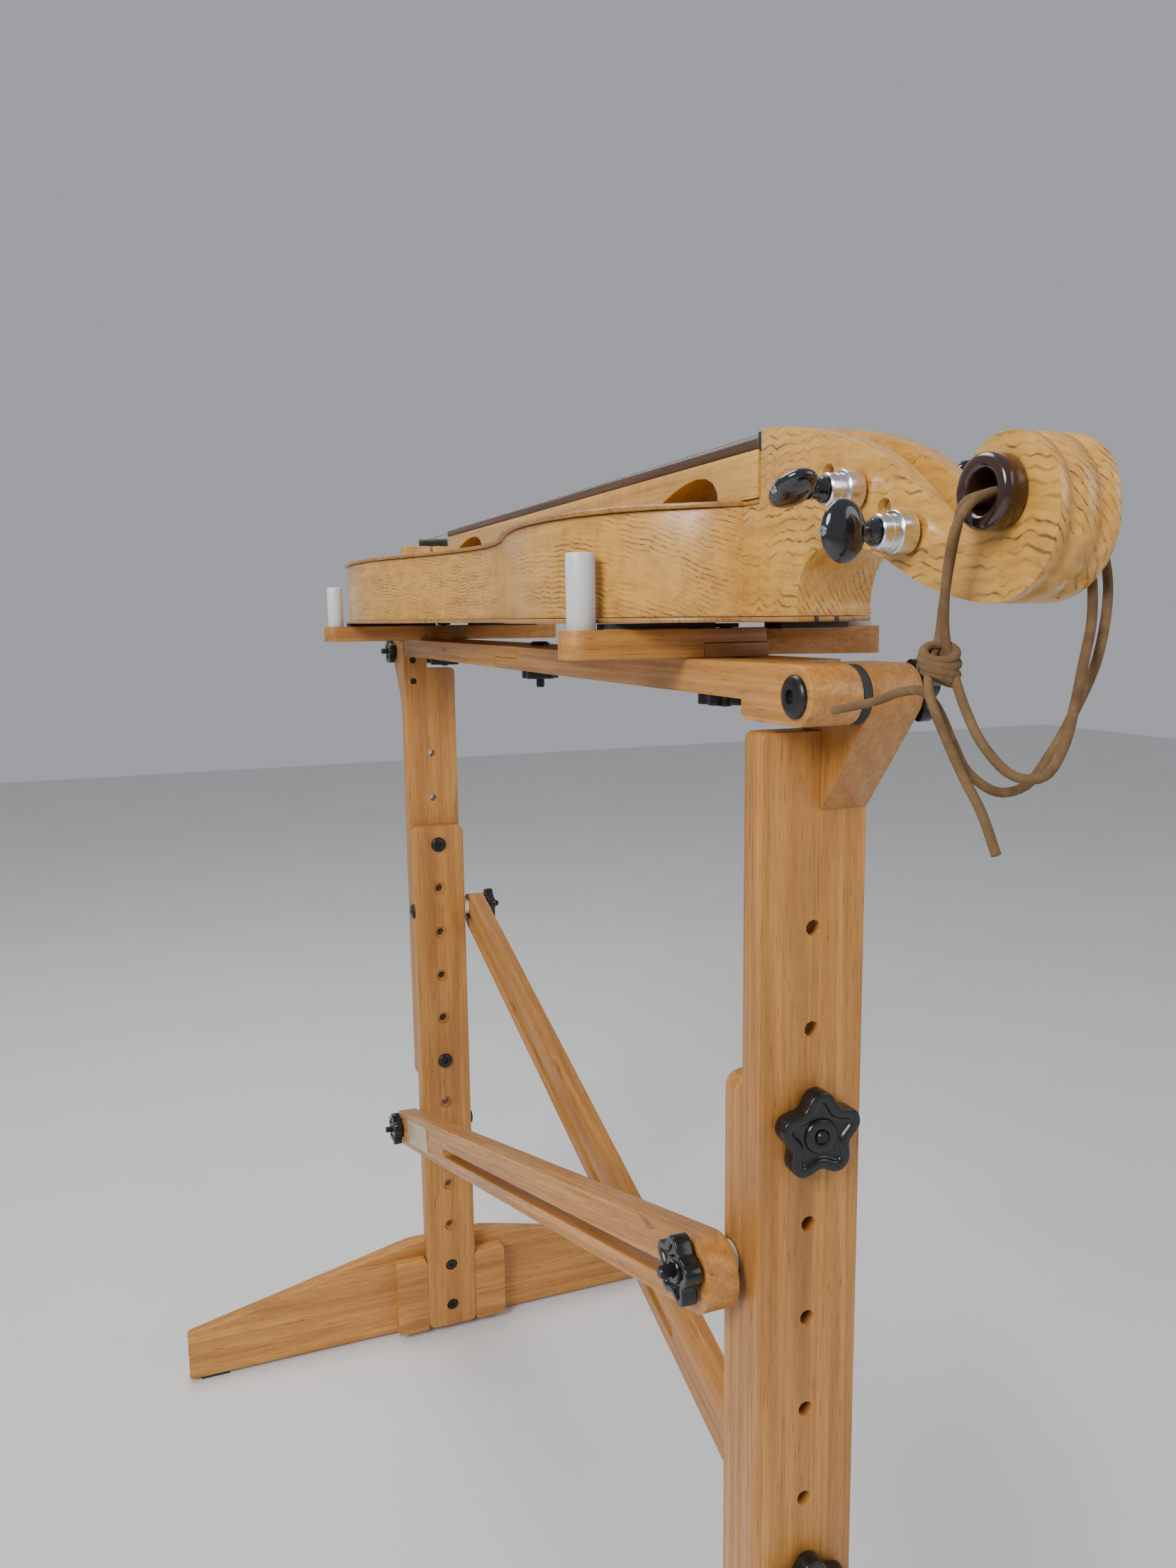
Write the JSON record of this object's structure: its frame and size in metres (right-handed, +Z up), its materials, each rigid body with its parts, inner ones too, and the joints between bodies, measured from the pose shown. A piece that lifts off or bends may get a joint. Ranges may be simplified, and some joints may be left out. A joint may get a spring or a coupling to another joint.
{
  "type": "dulcimer on floor stand",
  "caption": "Scroll-headed mountain dulcimer lying in the padded cradles of a knock-down wooden floor stand with pinned height adjustment, slotted braces and star knobs.",
  "frame": {"origin": "on the floor under the middle of the whole, measured without the lace", "axes": "+X runs along the beam to the scroll end, +Z is up, and -Y is the side with the front tuners"},
  "size_m": [1.0318, 0.596, 0.9288],
  "materials": {
    "cherry": "satin oiled cherry with fine straight grain",
    "acrylic": "frosted clear acrylic",
    "black_plastic": "glossy moulded black",
    "black_rubber": "matt",
    "ivory_plastic": "natural nylon",
    "chestnut": "satin varnished, dark wavy pores",
    "walnut": "oiled",
    "ebony": "polished",
    "rosewood": "polished",
    "tuner_metal": "brushed and turned",
    "button_plastic": "glossy",
    "suede": "rough suede"
  },
  "bodies": {
    "base": {"foot_near": "cherry", "lower_post_near": "cherry", "brace_near": "cherry", "brace_spacer_high_near": "ivory_plastic", "brace_spacer_low_near": "ivory_plastic", "foot_far": "cherry", "lower_post_far": "cherry", "brace_far": "cherry", "brace_spacer_high_far": "ivory_plastic", "brace_spacer_low_far": "ivory_plastic"},
    "top": {"upper_post_near": "cherry", "hinge_bracket_near": "cherry", "beam_half_near": "cherry", "hinge_spacer_near": "black_rubber", "upper_post_far": "cherry", "hinge_bracket_far": "cherry", "beam_half_far": "cherry", "hinge_spacer_far": "black_rubber"},
    "cradle_near": {"cradle_bolt_near": "black_plastic"},
    "cradle_far": {"cradle_bolt_far": "black_plastic"},
    "dulcimer": {"ribs": "chestnut", "top_plate": "chestnut", "back_plate": "chestnut", "fretboard": "chestnut", "fretboard_overlay": "walnut", "nut": "ebony", "bridge": "chestnut", "saddle": "ebony", "head": "chestnut", "eye_bushing": "rosewood", "tuner_front_1": "tuner_metal", "tuner_front_2": "tuner_metal", "tuner_back_1": "tuner_metal", "tuner_back_2": "tuner_metal", "lace": "suede"},
    "arm_front_near": {"cradle_arm_front_near": "cherry", "cradle_peg_front_near": "acrylic"},
    "arm_back_near": {"cradle_arm_back_near": "cherry", "cradle_peg_back_near": "acrylic"},
    "arm_front_far": {"cradle_arm_front_far": "cherry", "cradle_peg_front_far": "acrylic"},
    "arm_back_far": {"cradle_arm_back_far": "cherry", "cradle_peg_back_far": "acrylic"},
    "leg_knob_upper_near_body": {"leg_knob_upper_near": "black_plastic"},
    "leg_knob_lower_near_body": {"leg_knob_lower_near": "black_plastic"},
    "hinge_knob_near_body": {"hinge_knob_near": "black_plastic"},
    "cradle_knob_near_body": {"cradle_knob_near": "black_plastic"},
    "brace_knob_high_near_body": {"brace_knob_high_near": "black_plastic"},
    "brace_knob_low_near_body": {"brace_knob_low_near": "black_plastic"},
    "leg_knob_upper_far_body": {"leg_knob_upper_far": "black_plastic"},
    "leg_knob_lower_far_body": {"leg_knob_lower_far": "black_plastic"},
    "hinge_knob_far_body": {"hinge_knob_far": "black_plastic"},
    "cradle_knob_far_body": {"cradle_knob_far": "black_plastic"},
    "brace_knob_high_far_body": {"brace_knob_high_far": "black_plastic"},
    "brace_knob_low_far_body": {"brace_knob_low_far": "black_plastic"},
    "lap_knob_body": {"lap_knob": "black_plastic"},
    "tuner_button_front_1_body": {"tuner_button_front_1": "button_plastic"},
    "tuner_button_front_2_body": {"tuner_button_front_2": "button_plastic"},
    "tuner_button_back_1_body": {"tuner_button_back_1": "button_plastic"},
    "tuner_button_back_2_body": {"tuner_button_back_2": "button_plastic"}
  },
  "joints": [
    {"name": "height", "type": "slide", "parent": "base", "child": "top", "axis": [0, 0, 1], "range_m": [-0.1016, 0.2032]},
    {"name": "dulcimer_lift", "type": "slide", "parent": "top", "child": "dulcimer", "axis": [0, 0, 1], "range_m": [0, 0.06]},
    {"name": "cradle_slide_near", "type": "slide", "parent": "top", "child": "cradle_near", "axis": [1, 0, 0], "range_m": [0, 0.03]},
    {"name": "arm_front_near_slide", "type": "slide", "parent": "cradle_near", "child": "arm_front_near", "axis": [0, -1, 0], "range_m": [0, 0.008]},
    {"name": "arm_back_near_slide", "type": "slide", "parent": "cradle_near", "child": "arm_back_near", "axis": [0, 1, 0], "range_m": [0, 0.008]},
    {"name": "cradle_slide_far", "type": "slide", "parent": "top", "child": "cradle_far", "axis": [-1, 0, 0], "range_m": [0, 0.03]},
    {"name": "arm_front_far_slide", "type": "slide", "parent": "cradle_far", "child": "arm_front_far", "axis": [0, 1, 0], "range_m": [0, 0.008]},
    {"name": "arm_back_far_slide", "type": "slide", "parent": "cradle_far", "child": "arm_back_far", "axis": [0, -1, 0], "range_m": [0, 0.008]},
    {"name": "leg_knob_upper_near_turn", "type": "hinge", "parent": "base", "child": "leg_knob_upper_near_body", "pos_m": [0.35985, 0, 0.5932], "axis": [1, 0, 0], "continuous": true},
    {"name": "leg_knob_lower_near_turn", "type": "hinge", "parent": "base", "child": "leg_knob_lower_near_body", "pos_m": [0.35985, 0, 0.3392], "axis": [1, 0, 0], "continuous": true},
    {"name": "hinge_knob_near_turn", "type": "hinge", "parent": "top", "child": "hinge_knob_near_body", "pos_m": [0.37435, 0.033, 0.8085], "axis": [0, 1, 0], "continuous": true},
    {"name": "cradle_knob_near_turn", "type": "hinge", "parent": "cradle_near", "child": "cradle_knob_near_body", "pos_m": [0.25485, 0, 0.8005], "axis": [0, 0, -1], "continuous": true},
    {"name": "brace_knob_high_near_turn", "type": "hinge", "parent": "base", "child": "brace_knob_high_near_body", "pos_m": [0.3198, -0.057, 0.517], "axis": [0, -1, 0], "continuous": true},
    {"name": "brace_knob_low_near_turn", "type": "hinge", "parent": "base", "child": "brace_knob_low_near_body", "pos_m": [0.3198, 0.057, 0.263], "axis": [0, 1, 0], "continuous": true},
    {"name": "leg_knob_upper_far_turn", "type": "hinge", "parent": "base", "child": "leg_knob_upper_far_body", "pos_m": [-0.48015, 0, 0.5932], "axis": [-1, 0, 0], "continuous": true},
    {"name": "leg_knob_lower_far_turn", "type": "hinge", "parent": "base", "child": "leg_knob_lower_far_body", "pos_m": [-0.48015, 0, 0.3392], "axis": [-1, 0, 0], "continuous": true},
    {"name": "hinge_knob_far_turn", "type": "hinge", "parent": "top", "child": "hinge_knob_far_body", "pos_m": [-0.49465, -0.033, 0.8085], "axis": [0, -1, 0], "continuous": true},
    {"name": "cradle_knob_far_turn", "type": "hinge", "parent": "cradle_far", "child": "cradle_knob_far_body", "pos_m": [-0.37515, 0, 0.8005], "axis": [0, 0, -1], "continuous": true},
    {"name": "brace_knob_high_far_turn", "type": "hinge", "parent": "base", "child": "brace_knob_high_far_body", "pos_m": [-0.4401, 0.057, 0.517], "axis": [0, 1, 0], "continuous": true},
    {"name": "brace_knob_low_far_turn", "type": "hinge", "parent": "base", "child": "brace_knob_low_far_body", "pos_m": [-0.4401, -0.057, 0.263], "axis": [0, -1, 0], "continuous": true},
    {"name": "lap_knob_turn", "type": "hinge", "parent": "top", "child": "lap_knob_body", "pos_m": [-0.06015, 0, 0.8005], "axis": [0, 0, -1], "continuous": true},
    {"name": "tuner_turn_front_1", "type": "hinge", "parent": "dulcimer", "child": "tuner_button_front_1_body", "pos_m": [0.40085, -0.045, 0.8934], "axis": [0, -1, 0], "continuous": true},
    {"name": "tuner_turn_front_2", "type": "hinge", "parent": "dulcimer", "child": "tuner_button_front_2_body", "pos_m": [0.43285, -0.045, 0.8746], "axis": [0, -1, 0], "continuous": true},
    {"name": "tuner_turn_back_1", "type": "hinge", "parent": "dulcimer", "child": "tuner_button_back_1_body", "pos_m": [0.38135, 0.045, 0.9024], "axis": [0, 1, 0], "continuous": true},
    {"name": "tuner_turn_back_2", "type": "hinge", "parent": "dulcimer", "child": "tuner_button_back_2_body", "pos_m": [0.41755, 0.045, 0.8849], "axis": [0, 1, 0], "continuous": true}
  ]
}
